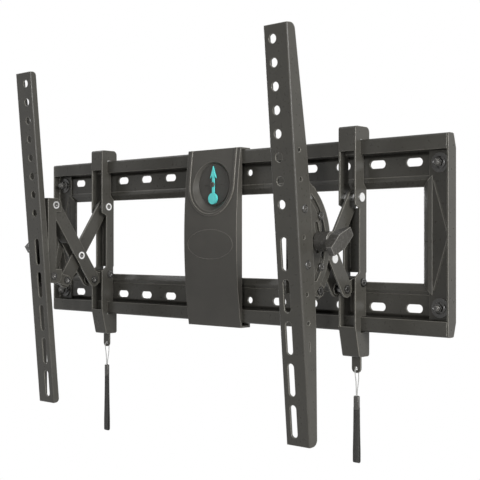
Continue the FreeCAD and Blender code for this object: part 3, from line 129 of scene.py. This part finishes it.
def coated(name, colour, roughness, grain_scale, grain_depth, painted_edge_highlight, gleam=0.3, edge_width=1.1 * MM):
    """A coat over metal or a moulded skin: fine grain, faint mottling and edges painted paler as a
    highlight.

    The edge number is how many times paler the edges are painted, a painted highlight, and gleam is the
    shader's specular level.
    """
    mottle_scale, mottle_dark, mottle_light = 38.0, 0.92, 1.08
    rough_scale, rough_range = 240.0, 0.05
    edge_starts, edge_full = 0.99, 0.86  # cosines of the bevelled normal's turn from the flat one
    grain_detail, bevel_samples = 2.0, 6
    material, tree, shader = new_material(name)
    place = object_place(tree)
    mottle = spread(tree, noise(tree, place, mottle_scale), 0.0, 1.0)
    plain = tinted(tree, mottle, shaded(colour, mottle_dark), shaded(colour, mottle_light))
    edge = add_node(tree, "ShaderNodeBevel", Radius=edge_width)
    edge.samples = bevel_samples
    flat = tree.nodes.new("ShaderNodeNewGeometry").outputs["Normal"]
    turn = tree.nodes.new("ShaderNodeVectorMath")
    turn.operation = "DOT_PRODUCT"
    tree.links.new(edge.outputs["Normal"], turn.inputs[0])
    tree.links.new(flat, turn.inputs[1])
    # The bevel's turn marks every edge, and the edge is painted paler there: a painted highlight along
    # every edge.
    painted_edge_mask = mapped(tree, turn.outputs["Value"], edge_starts, edge_full, 0.0, 1.0)
    tone = tree.nodes.new("ShaderNodeMix")
    tone.data_type = "RGBA"
    tree.links.new(painted_edge_mask, tone.inputs["Factor"])
    tree.links.new(plain, tone.inputs["A"])
    tone.inputs["B"].default_value = (*shaded(colour, painted_edge_highlight), 1)
    tree.links.new(tone.outputs["Result"], shader.inputs["Base Color"])
    rough = spread(tree, noise(tree, place, rough_scale), roughness - rough_range, roughness + rough_range)
    tree.links.new(rough, shader.inputs["Roughness"])
    shader.inputs["Specular IOR Level"].default_value = gleam
    grain = noise(tree, place, grain_scale, grain_detail)
    bumped(tree, shader, grain, grain_depth, base=edge.outputs["Normal"])
    return material


def steel(name, colour, roughness):
    """Bare wire with fine drawing marks."""
    streak_scale, streak_dark, streak_depth, rough_range = 900.0, 0.85, 0.01 * MM, 0.06
    material, tree, shader = new_material(name)
    streak = spread(tree, noise(tree, object_place(tree), streak_scale), 0.0, 1.0)
    tone = tinted(tree, streak, shaded(colour, streak_dark), colour)
    tree.links.new(tone, shader.inputs["Base Color"])
    shader.inputs["Metallic"].default_value = 1.0
    rough = spread(tree, streak, roughness - rough_range, roughness + rough_range)
    tree.links.new(rough, shader.inputs["Roughness"])
    bumped(tree, shader, streak, streak_depth)
    return material


def zinc(name):
    """Plated rivets: the upper ones are bright, and those below the split are dulled dark."""
    dull, bright, blur = (0.12, 0.118, 0.115), (0.86, 0.86, 0.85), 2 * MM
    spangle_scale, spangle_depth, rough_low, rough_high = 700.0, 0.008 * MM, 0.24, 0.36
    material, tree, shader = new_material(name)
    place = object_place(tree)
    height = tree.nodes.new("ShaderNodeSeparateXYZ")
    tree.links.new(place, height.inputs["Vector"])
    upper = mapped(tree, height.outputs["Z"], RIVET_SPLIT - blur, RIVET_SPLIT + blur, 0.0, 1.0)
    tree.links.new(tinted(tree, upper, dull, bright), shader.inputs["Base Color"])
    shader.inputs["Metallic"].default_value = 1.0
    spangle = noise(tree, place, spangle_scale)
    tree.links.new(spread(tree, spangle, rough_low, rough_high), shader.inputs["Roughness"])
    bumped(tree, shader, spangle, spangle_depth)
    return material


def gloss(name, colour, roughness):
    """A smooth bright moulding with faint clouds in its colour."""
    cloud_scale, cloud_dark, rough_scale, rough_range = 60.0, 0.94, 400.0, 0.06
    grain_scale, grain_depth = 1200.0, 0.01 * MM
    material, tree, shader = new_material(name)
    place = object_place(tree)
    cloud = spread(tree, noise(tree, place, cloud_scale), 0.0, 1.0)
    tree.links.new(tinted(tree, cloud, shaded(colour, cloud_dark), colour), shader.inputs["Base Color"])
    rough = spread(tree, noise(tree, place, rough_scale), roughness, roughness + rough_range)
    tree.links.new(rough, shader.inputs["Roughness"])
    bumped(tree, shader, noise(tree, place, grain_scale), grain_depth)
    return material


def woven(name, colour, pitch, depth, dark=0.55, pale=1.3, fuzz=0.3):
    """Braid or webbing: bands along X that cross bands along Z, one to each pitch."""
    scale = math.pi / (10 * pitch)  # a wave texture repeats every pi / (10 * scale)
    wobble, wobble_detail, roughness = 0.4, 1.0, 0.85
    material, tree, shader = new_material(name)
    place = object_place(tree)
    product = tree.nodes.new("ShaderNodeMath")
    product.operation = "MULTIPLY"
    for index, axis in enumerate(("X", "Z")):
        band = add_node(tree, "ShaderNodeTexWave", Scale=scale, Distortion=wobble, Detail=wobble_detail)
        band.bands_direction = axis
        tree.links.new(place, band.inputs["Vector"])
        tree.links.new(band.outputs["Fac"], product.inputs[index])
    weave = product.outputs["Value"]
    tone = tinted(tree, weave, shaded(colour, dark), shaded(colour, pale))
    tree.links.new(tone, shader.inputs["Base Color"])
    shader.inputs["Roughness"].default_value = roughness
    shader.inputs["Sheen Weight"].default_value = fuzz
    bumped(tree, shader, weave, depth)
    return material


CHARCOAL = (0.0405, 0.0386, 0.0332)
COAT = {"colour": CHARCOAL, "roughness": 0.31, "grain_scale": 2600.0, "grain_depth": 0.007 * MM,
        "gleam": 0.26}
# Each finish's edge number paints its edges paler: a painted highlight along every edge.
finish = {  # by the record's material slots
    "charcoal_steel": coated("charcoal_coat", painted_edge_highlight=4.4, edge_width=1.4 * MM, **COAT),
    "black_plastic": coated("black_moulding", (0.045, 0.043, 0.039), 0.26, 3200.0, 0.004 * MM,
                            painted_edge_highlight=5.0, gleam=0.5),
    "cover_plastic": coated("cover_moulding", (0.0465, 0.0437, 0.0377), 0.36, 3000.0, 0.008 * MM, painted_edge_highlight=4.0),
    "dial_plastic": coated("dial_moulding", (0.042, 0.04, 0.036), 0.6, 3000.0, 0.02 * MM, painted_edge_highlight=1.2),
    "teal_plastic": gloss("teal_needle", (0.095, 0.57, 0.55), 0.3),
    "spring_steel": steel("spring_wire", (0.42, 0.42, 0.42), 0.3),
    "rivet_steel": zinc("rivet_zinc"),
    "white_string": woven("string_braid", (0.34, 0.34, 0.33), 0.5 * MM, 0.03 * MM,
                          dark=0.75, pale=1.05, fuzz=0.1),
    "black_strap": woven("strap_weave", (0.0245, 0.0234, 0.021), 0.9 * MM, 0.12 * MM, fuzz=0.08),
}
# A darker fastener finish whose edges are painted eleven times paler: a painted highlight on rims and
# heads.
fastener_black = coated("fastener_black", (0.026, 0.0248, 0.0225), 0.22, 2600.0, 0.006 * MM,
                        painted_edge_highlight=11.0, gleam=0.6, edge_width=0.4 * MM)
# The ridge's coat: the plate's charcoal with edges painted six times paler over a wider bevel, a painted
# highlight on the crest and rims.
ridge_painted_highlight = coated("ridge_painted_highlight", painted_edge_highlight=6.0, edge_width=1.8 * MM, **COAT)
for part in frame["record"]["subparts"]:
    mesh = nodes[part["node"]].data
    mesh.materials.clear()
    mesh.materials.append(finish[part["material_slot"]])
# The washers take that finish, so their rims carry its painted highlight.
nodes["corner_washers"].data.materials[0] = fastener_black


# Meshes and pieces; sections and profiles are in millimetres

def add_piece(name, mesh, body, slot, *stands_for, look=None):
    """Links a mesh as a piece that rides a body, in a slot's finish or a closer look of its own."""
    piece = bpy.data.objects.new(name, mesh)
    scene.collection.objects.link(piece)
    mesh.materials.clear()
    mesh.materials.append(look or finish[slot])
    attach(piece, body)
    if stands_for:
        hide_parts(*stands_for)
    return piece


def skin(name, parts, closed=False):
    """One mesh from parts, each a list of rings of equally many points.

    The rings' ends are capped, or the last ring joins the first where the part is closed.
    """
    sharp_from = math.radians(38)
    points, faces = [], []
    for rings in parts:
        count = len(rings[0])
        start = len(points)
        points += [point for ring in rings for point in ring]
        rows = [[start + row * count + column for column in range(count)] for row in range(len(rings))]
        for near, far in zip(rows, rows[1:] + rows[:1] if closed else rows[1:]):
            for column in range(count):
                after = (column + 1) % count
                faces.append((near[column], near[after], far[after], far[column]))
        if not closed:
            faces += [rows[0], rows[-1]]
    mesh = bpy.data.meshes.new(name)
    mesh.from_pydata(points, [], faces)
    work = bmesh.new()
    work.from_mesh(mesh)
    bmesh.ops.recalc_face_normals(work, faces=work.faces)
    work.to_mesh(mesh)
    work.free()
    mesh.polygons.foreach_set("use_smooth", [True] * len(mesh.polygons))
    mesh.set_sharp_from_angle(angle=sharp_from)
    return mesh


def fan(key_angles=(), steps=12):
    """Angles of a full turn: equal steps in each quarter, with further angles of a quarter added."""
    quarter = sorted({index * math.pi / 2 / steps for index in range(steps)} | set(key_angles))
    return [turn * math.pi / 2 + angle for turn in range(4) for angle in quarter]


def hexagon(angle, flats):
    """Distance from the middle of a hexagon to its side, at an angle."""
    nearest = round(angle / (math.pi / 3)) * math.pi / 3
    return flats / 2 / math.cos(angle - nearest)


def cross(angle, reach, half_width):
    """Distance from the middle of an upright cross to its outline, at an angle."""
    tiny = 1e-9
    along, aside = abs(math.cos(angle)) + tiny, abs(math.sin(angle)) + tiny
    return max(min(reach / along, half_width / aside), min(half_width / along, reach / aside))


def turned(place, axis, angles, profile):
    """Rings about an axis through a place; profile is (distance along, radius or function of angle)."""
    axis = Vector(axis)
    level = axis.orthogonal().normalized()
    upright = axis.cross(level)
    rings = []
    for along, radius in profile:
        ring = []
        for angle in angles:
            reach = radius(angle) if callable(radius) else radius
            spoke = level * math.cos(angle) + upright * math.sin(angle)
            ring.append(Vector(place) + (axis * along + spoke * reach) * MM)
        rings.append(ring)
    return rings


def tube(route, radius):
    """Rings along a route of points, kept from twisting."""
    sides = 10
    rings = []
    level = (route[1] - route[0]).orthogonal().normalized()
    for index, place in enumerate(route):
        ahead = route[min(index + 1, len(route) - 1)] - route[max(index - 1, 0)]
        heading = ahead.normalized()
        level = (level - heading * level.dot(heading)).normalized()
        upright = heading.cross(level)
        ring = []
        for step in range(sides):
            angle = 2 * math.pi * step / sides
            ring.append(place + (level * math.cos(angle) + upright * math.sin(angle)) * radius)
        rings.append(ring)
    return rings


# Pulls and springs

def string(name, side, route, radius):
    """The pull's string as a smooth tube along its route."""
    curve = bpy.data.curves.new(name, "CURVE")
    curve.dimensions = "3D"
    curve.bevel_depth = radius
    curve.bevel_resolution = 3
    curve.use_fill_caps = True
    spline = curve.splines.new("NURBS")
    spline.points.add(len(route) - 1)
    for point, place in zip(spline.points, route):
        point.co = (*place, 1)
    spline.order_u = 3
    spline.use_endpoint_u = True
    spline.resolution_u = 8
    curve.materials.append(finish["white_string"])
    piece = bpy.data.objects.new(name, curve)
    scene.collection.objects.link(piece)
    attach(piece, f"{side}_latch")
    return piece


def pull(side, hung):
    """The string runs from the eye of the latch's tab into the strap's fold, and back to the eye."""
    low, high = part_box(f"{side}_pull_string")
    radius = 0.55 * MM
    into_fold = 28.0 * MM
    eye = Vector(((low.x + high.x) / 2, (low.y + high.y) / 2, high.z - (high.x - low.x) / 2))
    turn = eye.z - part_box(f"{side}_pull_ferrule")[0].z + into_fold
    front = [
        (0.0, 0.0, 0.0), (0.0, -1.8, 0.6), (0.1, -3.8, -1.6), (0.5, -3.3, -7.0),
        (0.9, -2.6, -13.0), (0.5, -1.5, -21.0), (0.1, -0.8, -27.0), (0.0, -0.4, -40.0),
    ]
    lower_turn = [(2.5, 7.0), (2.5, 0.0), (-2.5, 0.0), (-2.5, 7.0)]
    route = [eye + Vector(offset) * MM for offset in front]
    route += [eye + Vector((across * MM, 0, rise * MM - turn)) for across, rise in lower_turn]
    route += [eye + Vector((across, -back, up)) * MM for across, back, up in reversed(front)]
    loop = string(f"{side}_string_loop", side, route, radius)
    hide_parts(f"{side}_pull_string")


def ferrule(side):
    """A moulded clip with rounded ends."""
    low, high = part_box(f"{side}_pull_ferrule")
    middle = (low + high) / 2
    half, deep, tall = high.x - middle.x, high.y - middle.y, high.z - low.z
    squareness = 5  # 2 would be an ellipse
    outline = [(0.0, 0.72), (0.02, 0.86), (0.05, 0.95), (0.1, 0.99), (0.5, 1.0), (0.9, 0.99),
               (0.95, 0.95), (0.98, 0.86), (1.0, 0.72)]  # shares of the height and of the width
    rings = []
    for share, swell in outline:
        ring = []
        for angle in fan(steps=8):
            along, aside = math.cos(angle), math.sin(angle)
            reach = swell * (abs(along) ** squareness + abs(aside) ** squareness) ** (-1 / squareness)
            ring.append(Vector((middle.x + half * reach * along, middle.y + deep * reach * aside,
                                low.z + tall * share)))
        rings.append(ring)
    mesh = skin(f"{side}_pull_ferrule", [rings])
    return add_piece(f"{side}_clip", mesh, f"{side}_latch", "black_plastic", f"{side}_pull_ferrule")


def strap(side):
    """Webbing folded into a long loop that opens towards its lower end."""
    low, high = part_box(f"{side}_pull_strap")
    middle = (low + high) / 2
    half, thick = high.x - middle.x, 1.0 * MM
    bow = high.y - middle.y - thick / 2
    tall = high.z - low.z
    grip = 3.0 * MM  # length inside the clip
    shut = thick * 0.55  # half the gap between the legs at the clip
    open_by, opening = 0.82, 1.6  # share of the leg at which the gap is full, and how late it widens
    leg_steps, bend_steps = 24, 12
    leg = []
    for step in range(leg_steps + 1):
        share = step / leg_steps
        gap = shut + (bow - shut) * min(share / open_by, 1) ** opening
        leg.append((gap, high.z + grip - (tall + grip - bow - thick / 2) * share))
    bend = []
    for step in range(1, bend_steps):
        angle = math.pi * step / bend_steps
        bend.append((bow * math.cos(angle), low.z + bow + thick / 2 - bow * math.sin(angle)))
    line = leg + bend + [(-gap, up) for gap, up in reversed(leg)]
    upper = [(-1, 0), (-0.97, 0.32), (-0.9, 0.5), (0, 0.56), (0.9, 0.5), (0.97, 0.32)]
    section = upper + [(-across, -lift) for across, lift in upper]  # shares of the width and thickness
    rings = []
    for index, (aside, up) in enumerate(line):
        before, after = line[max(index - 1, 0)], line[min(index + 1, len(line) - 1)]
        run, rise = after[0] - before[0], after[1] - before[1]
        length = math.hypot(run, rise)
        normal = (rise / length, -run / length)
        rings.append([Vector((middle.x + half * across, middle.y + aside + normal[0] * lift * thick,
                              up + normal[1] * lift * thick)) for across, lift in section])
    mesh = skin(f"{side}_pull_strap", [rings])
    return add_piece(f"{side}_webbing", mesh, f"{side}_latch", "black_strap", f"{side}_pull_strap")


def latch_spring(side):
    """A round-wire spring with closed end coils, drawn at its rest length; the real one shortens as the
    latch is pulled.
    """
    low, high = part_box(f"{side}_latch_spring")
    wire, turns, steps = 0.4 * MM, 7, 28
    end_pitch = wire * 2.1
    middle = (low + high) / 2
    coil = (high.x - low.x) / 2 - wire
    rise = high.z - low.z - wire * 2
    closed = end_pitch / rise  # share of the rise that each end coil takes
    route = []
    for index in range(turns * steps + 1):
        turn = index / steps
        open_part = min(max((turn - 1) / (turns - 2), 0), 1)
        share = closed * min(turn, 1) + (1 - closed * 2) * open_part + closed * max(turn - turns + 1, 0)
        angle = 2 * math.pi * turn
        route.append(Vector((middle.x + coil * math.cos(angle), middle.y + coil * math.sin(angle),
                             low.z + wire + rise * share)))
    mesh = skin(f"{side}_latch_spring", [tube(route, wire)])
    piece = add_piece(f"{side}_wire_spring", mesh, f"{side}_hook", "spring_steel", f"{side}_latch_spring")
    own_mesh(piece)


# Fasteners

def add_fasteners(name, node, places, axis, angles, profile, closed=False):
    """Equal turned fasteners at several places, as one piece that stands for a node."""
    mesh = skin(node, [turned(place, axis, angles, profile) for place in places], closed)
    add_piece(name, mesh, body_of[node], "charcoal_steel", node, look=fastener_black)


def sector_screws(side, way):
    """Two pan-head screws with cross recesses."""
    node = f"{side}_sector_screws"
    low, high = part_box(node)
    head, rise, shank = 4.6, 1.6, 2.0
    reach, half_width, depth = 2.3, 0.55, 1.1
    under = (high.x - low.x) / MM - rise
    top = under + rise

    def recess(angle):
        return cross(angle, reach, half_width)

    profile = [(0, shank), (under, shank), (under, head), (under + 0.5, head), (under + 1.0, head * 0.93),
               (under + 1.4, head * 0.8), (top, head * 0.6), (top, recess), (top - depth, recess)]
    angles = fan((math.atan2(half_width, reach), math.pi / 4, math.atan2(reach, half_width)))
    start = low.x if way > 0 else high.x
    inset = head * MM
    places = [(start, low.y + inset, high.z - inset), (start, high.y - inset, low.z + inset)]
    add_fasteners(f"{side}_cross_screws", node, places, (way, 0, 0), angles, profile)


def guide_studs(side, way):
    """Two studs with hexagon sockets in their heads."""
    node = f"{side}_guide_studs"
    low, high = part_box(node)
    head, rise, shank, flats, depth = 4.2, 2.0, 3.0, 3.6, 1.4
    under = (high.x - low.x) / MM - rise
    top = under + rise

    def socket(angle):
        return hexagon(angle, flats)

    profile = [(0, shank), (under, shank), (under, head), (top - 0.5, head), (top - 0.15, head - 0.25),
               (top, head - 0.7), (top, socket), (top - depth, socket)]
    angles = fan((math.pi / 6, math.pi / 3))
    start = low.x if way > 0 else high.x
    inset, middle = head * MM, (low.y + high.y) / 2
    places = [(start, middle, high.z - inset), (start, middle, low.z + inset)]
    add_fasteners(f"{side}_socket_studs", node, places, (way, 0, 0), angles, profile)


def corner_places(node, edge):
    """The four middles of a group of corner fasteners, on their rear face, from the group's box."""
    low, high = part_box(node)
    inset = edge * MM
    return [(across, high.y, up) for across in (low.x + inset, high.x - inset)
            for up in (low.z + inset, high.z - inset)]


def corner_bolts():
    """Bolts with flat heads behind the web and a short thread that shows past the nut."""
    low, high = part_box("corner_bolts")
    length = (high.y - low.y) / MM
    head, rise, chamfer, shank = 6.0, 2.2, 0.4, 3.0
    root, pitch, crests, crest_end, groove = 2.55, 1.0, 5, 0.25, 0.6  # the last two are shares of the pitch
    tip, taper = 0.6, 0.7
    profile = [(0, head - chamfer), (chamfer, head), (rise, head), (rise, shank)]
    first = length - tip - pitch * crests
    for crest in range(crests):
        start = first + pitch * crest
        profile += [(start, shank), (start + pitch * crest_end, shank), (start + pitch * groove, root)]
    profile += [(length - tip, shank), (length, shank - taper)]
    places = corner_places("corner_bolts", head)
    add_fasteners("threaded_bolts", "corner_bolts", places, (0, -1, 0), fan(), profile)


def corner_nuts():
    """Flange nuts with chamfered corners."""
    low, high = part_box("corner_nuts")
    height = (high.y - low.y) / MM
    flange, flats, bore = 6.5, 9.0, 3.05

    def hexed(largest):
        return lambda angle: min(hexagon(angle, flats), largest)

    profile = [(0, bore), (0, flange - 0.3), (0.3, flange), (0.7, flange), (1.5, hexed(4.9)),
               (height - 0.8, hexed(6.0)), (height - 0.35, hexed(4.75)), (height, hexed(4.3)),
               (height, bore + 0.4), (height - 0.4, bore)]
    angles = fan((math.pi / 6, math.pi / 3), steps=18)
    places = corner_places("corner_nuts", flange)
    add_fasteners("flange_nuts", "corner_nuts", places, (0, -1, 0), angles, profile, closed=True)


def solids_of(node):
    """The boxes of a node's separate solids."""
    same_place = 0.001 * MM
    work = bmesh.new()
    work.from_mesh(nodes[node].data)
    bmesh.ops.remove_doubles(work, verts=work.verts, dist=same_place)
    left, boxes = set(work.verts), []
    for vert in work.verts:
        if vert not in left:
            continue
        left.discard(vert)
        group, front = [], [vert]
        while front:
            here = front.pop()
            group.append(here.co.copy())
            for edge in here.link_edges:
                there = edge.other_vert(here)
                if there in left:
                    left.discard(there)
                    front.append(there)
        boxes.append([Vector(pick(place[axis] for place in group) for axis in range(3))
                      for pick in (min, max)])
    work.free()
    return boxes


def rivet_hollows(side, way):
    """Dark dishes in the hollows of the rivets' inner ends, and rolled outer ends on the lower rivets.

    The carriage's rivets have no rolled ends, because they lie close behind the tilt plate.
    """
    dish = [(-0.72, 3.12), (-0.12, 3.12), (-0.3, 2.5), (-0.6, 1.8), (-0.66, 0.8)]
    rolled = [(-0.2, 3.6), (0.02, 3.6), (0.22, 3.3), (0.25, 2.9), (0.18, 2.5), (-0.02, 2.2), (-0.04, 1.0)]
    angles = fan(steps=6)
    for kind in ("hook_rivets", "rear_link_rivet", "front_link_rivets", "carriage_rivets"):
        node = f"{side}_{kind}"
        ends = []
        for low, high in solids_of(node):
            middle = (low + high) / 2
            inner, outer = (low.x, high.x) if way > 0 else (high.x, low.x)
            ends.append(turned((inner, middle.y, middle.z), (-way, 0, 0), angles, dish))
            if middle.z < RIVET_SPLIT and kind != "carriage_rivets":
                ends.append(turned((outer, middle.y, middle.z), (way, 0, 0), angles, rolled))
        add_piece(f"{side}_{kind}_hollows", skin(f"{node}_hollows", ends), body_of[node], "charcoal_steel",
                  look=fastener_black)


# Trim on the wall plate

def dial_marks():
    """Two level marks raised on the dial."""
    low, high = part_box("level_dial")
    middle = (low + high) / 2
    near, far, half, sunk, lift, bevel = 10.5, 16.0, 0.45, 0.3, 0.3, 0.15
    bars = []
    for way in SIDES.values():
        rings = []
        for out, shrink in ((-sunk, 0.0), (lift * 0.5, 0.0), (lift, bevel)):
            corners = ((near + shrink, half - shrink), (far - shrink, half - shrink),
                       (far - shrink, shrink - half), (near + shrink, shrink - half))
            rings.append([Vector((middle.x + along * way * MM, low.y - out * MM, middle.z + up * MM))
                          for along, up in corners])
        bars.append(rings)
    add_piece("dial_marks", skin("dial_marks", bars), "wall_plate", "dial_plastic")


def window_ridge():
    """The ridge pressed round the wall plate's window: two slopes that meet in a rounded crest."""
    half_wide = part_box("right_end_plate")[0].x / MM
    half_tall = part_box("upper_rail")[0].z / MM
    section = [(0.3, 2.45), (7.2, 6.1), (7.5, 6.24), (7.8, 6.28), (8.1, 6.2), (12.4, 5.05), (12.4, 4.5),
               (7.7, 4.5), (0.3, 1.7)]  # distances out from the window and forward from the wall
    rail_lift, end_lift = 0.0, 1.95  # the end plates lie on the rails
    corners = [(1, 1, end_lift), (1, -1, end_lift), (1, -1, rail_lift), (-1, -1, rail_lift),
               (-1, -1, end_lift), (-1, 1, end_lift), (-1, 1, rail_lift), (1, 1, rail_lift)]
    rings = []
    for across, up, lift in corners:
        rings.append([Vector((across * (half_wide + out), -(forward + lift), up * (half_tall + out))) * MM
                      for out, forward in section])
    mesh = skin("window_ridge", [rings], closed=True)
    # The ridge's coat paints its crest and edges paler over a wide bevel: a painted highlight.
    add_piece("window_ridge", mesh, "wall_plate", "charcoal_steel", look=ridge_painted_highlight)


def cover_oval():
    """A fine oval bead on the cover, with nothing inside it."""
    cover = nodes["centre_cover"]
    low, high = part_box("centre_cover")
    middle, height = (low.x + high.x) / 2, -9.7 * MM
    half_wide, half_tall, half_bead, lift = 38.5 * MM, 18.4 * MM, 0.5 * MM, 0.28 * MM
    section = ((-1, -1), (-0.75, 0.45), (0, 1), (0.75, 0.45), (1, -1))  # shares of half_bead and lift
    in_front = low.y - 0.1
    rings = []
    for angle in fan(steps=20):
        along, aside = math.cos(angle), math.sin(angle)
        start = Vector((middle + half_wide * along, in_front, height + half_tall * aside))
        place = cover.ray_cast(start, Vector((0, 1, 0)))[1]
        out = Vector((along / half_wide, 0, aside / half_tall)).normalized()
        rings.append([place + out * half_bead * reach + Vector((0, -lift * rise, 0))
                      for reach, rise in section])
    add_piece("cover_oval", skin("cover_oval", [rings], closed=True), "wall_plate", "cover_plastic")


for side, way in SIDES.items():
    pull(side, [ferrule(side), strap(side)])
    latch_spring(side)
    sector_screws(side, way)
    guide_studs(side, way)
    rivet_hollows(side, way)
corner_bolts()
corner_nuts()
dial_marks()
window_ridge()
cover_oval()


# Studio and camera

def mixed_by_ray(tree, plain, white, output_kind):
    """White for rays from the camera, in reflections and through glass, and plain for all other light."""
    path = tree.nodes.new("ShaderNodeLightPath")
    seen = path.outputs["Is Camera Ray"]
    for kind in ("Is Glossy Ray", "Is Transmission Ray"):
        larger = tree.nodes.new("ShaderNodeMath")
        larger.operation = "MAXIMUM"
        tree.links.new(seen, larger.inputs[0])
        tree.links.new(path.outputs[kind], larger.inputs[1])
        seen = larger.outputs["Value"]
    mix = tree.nodes.new("ShaderNodeMixShader")
    out = tree.nodes.new(output_kind)
    tree.links.new(seen, mix.inputs["Fac"])
    tree.links.new(plain.outputs[0], mix.inputs[1])
    tree.links.new(white.outputs[0], mix.inputs[2])
    tree.links.new(mix.outputs["Shader"], out.inputs["Surface"])


def pale_floor():
    """A wide floor below the part."""
    half, level, grey = 12.0, -0.9, 0.55
    material = bpy.data.materials.new("pale_floor")
    material.use_nodes = True
    tree = material.node_tree
    tree.nodes.clear()
    matt = add_node(tree, "ShaderNodeBsdfDiffuse", Color=(grey, grey, grey, 1))
    glow = add_node(tree, "ShaderNodeEmission", Color=(1, 1, 1, 1), Strength=1.0)
    mixed_by_ray(tree, matt, glow, "ShaderNodeOutputMaterial")
    mesh = bpy.data.meshes.new("floor")
    corners = [(-half, -half, level), (half, -half, level), (half, half, level), (-half, half, level)]
    mesh.from_pydata(corners, [], [(0, 1, 2, 3)])
    mesh.materials.append(material)
    floor = bpy.data.objects.new("floor", mesh)
    scene.collection.objects.link(floor)


def surroundings():
    """A dim even light from all sides."""
    ambient = 0.1
    world = bpy.data.worlds.new("studio")
    scene.world = world
    world.use_nodes = True
    tree = world.node_tree
    tree.nodes.clear()
    dim = add_node(tree, "ShaderNodeBackground", Color=(1, 1, 1, 1), Strength=ambient)
    white = add_node(tree, "ShaderNodeBackground", Color=(1, 1, 1, 1), Strength=1.0)
    mixed_by_ray(tree, dim, white, "ShaderNodeOutputWorld")


def area_lamp(name, place, width, height, power):
    """A soft rectangular lamp that points at the middle of the part."""
    lamp = bpy.data.lights.new(name, "AREA")
    lamp.shape = "RECTANGLE"
    lamp.size = width
    lamp.size_y = height
    lamp.energy = power
    thing = bpy.data.objects.new(name, lamp)
    scene.collection.objects.link(thing)
    thing.location = place
    thing.rotation_euler = (-Vector(place)).to_track_quat("-Z", "Y").to_euler()


def camera():
    """The photograph's viewpoint: level, from the right, 42 degrees round."""
    lens = bpy.data.cameras.new("camera")
    lens.sensor_width = 36.0
    lens.lens = 73.6
    lens.shift_y = 0.0069
    lens.clip_end = 60.0
    thing = bpy.data.objects.new("camera", lens)
    scene.collection.objects.link(thing)
    thing.location = (0.847, -0.912, -0.0085)
    thing.rotation_euler = (math.radians(90), 0, math.radians(42))
    scene.camera = thing


LAMPS = {  # place, width and height in metres, and power in watts
    "top_light": ((0.6, -0.9, 2.4), 1.8, 1.2, 9.0),
    "left_light": ((-2.9, -1.6, 2.5), 1.0, 1.0, 16.0),
    "right_light": ((4.4, -1.2, 1.2), 1.6, 2.0, 305.0),
    "front_light": ((1.9, -3.3, 0.2), 0.22, 2.2, 50.0),
    "back_light": ((-3.4, 2.2, 0.3), 1.8, 1.8, 80.0),
}
pale_floor()
surroundings()
for name, lamp in LAMPS.items():
    area_lamp(name, *lamp)
camera()
scene.view_settings.view_transform = "Standard"
